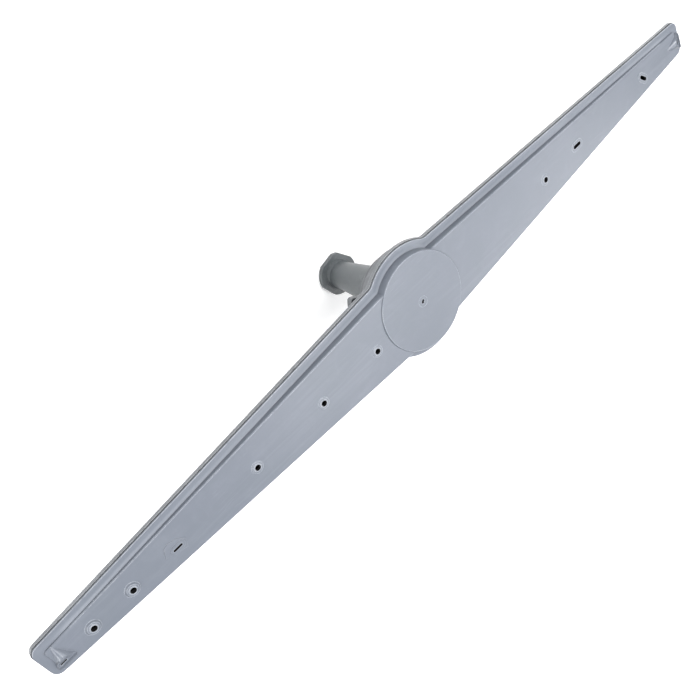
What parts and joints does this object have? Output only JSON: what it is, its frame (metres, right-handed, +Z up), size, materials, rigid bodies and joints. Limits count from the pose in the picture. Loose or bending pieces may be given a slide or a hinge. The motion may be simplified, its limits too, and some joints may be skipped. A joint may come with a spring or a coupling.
{
  "type": "dishwasher spray arm",
  "caption": "Long double-ended tapering spray arm with a round hub that turns on a flanged conical feed stem; round jets, slots and leaning end hoods on its nozzle face.",
  "frame": {"origin": "centre of the feed stem's end face, on the axis that the arm turns about", "axes": "+Z up the stem to the nozzle face, +X along the arm that carries the two plain slots, +Y towards the side with the wide welding flange"},
  "size_m": [0.4808, 0.063, 0.076],
  "materials": {
    "nozzle_face_plastic": "satin polypropylene moulding, faint flow marks and light scuffs",
    "back_shell_plastic": "satin polypropylene moulding, faint flow marks and light scuffs",
    "collar_plastic": "satin moulded plastic, darker grey",
    "washer_plastic": "natural acetal, smooth",
    "stem_plastic": "satin moulded plastic, darker grey, faint turning-like draw lines"
  },
  "bodies": {
    "stem": {"feed_stem": "stem_plastic"},
    "arm": {"upper_shell": "nozzle_face_plastic", "lower_shell": "back_shell_plastic", "retaining_collar": "collar_plastic", "thrust_washer": "washer_plastic"}
  },
  "joints": [
    {"name": "arm_spin", "type": "hinge", "parent": "stem", "child": "arm", "pos_m": [0, 0, 0.0558], "axis": [0, 0, 1], "continuous": true}
  ]
}
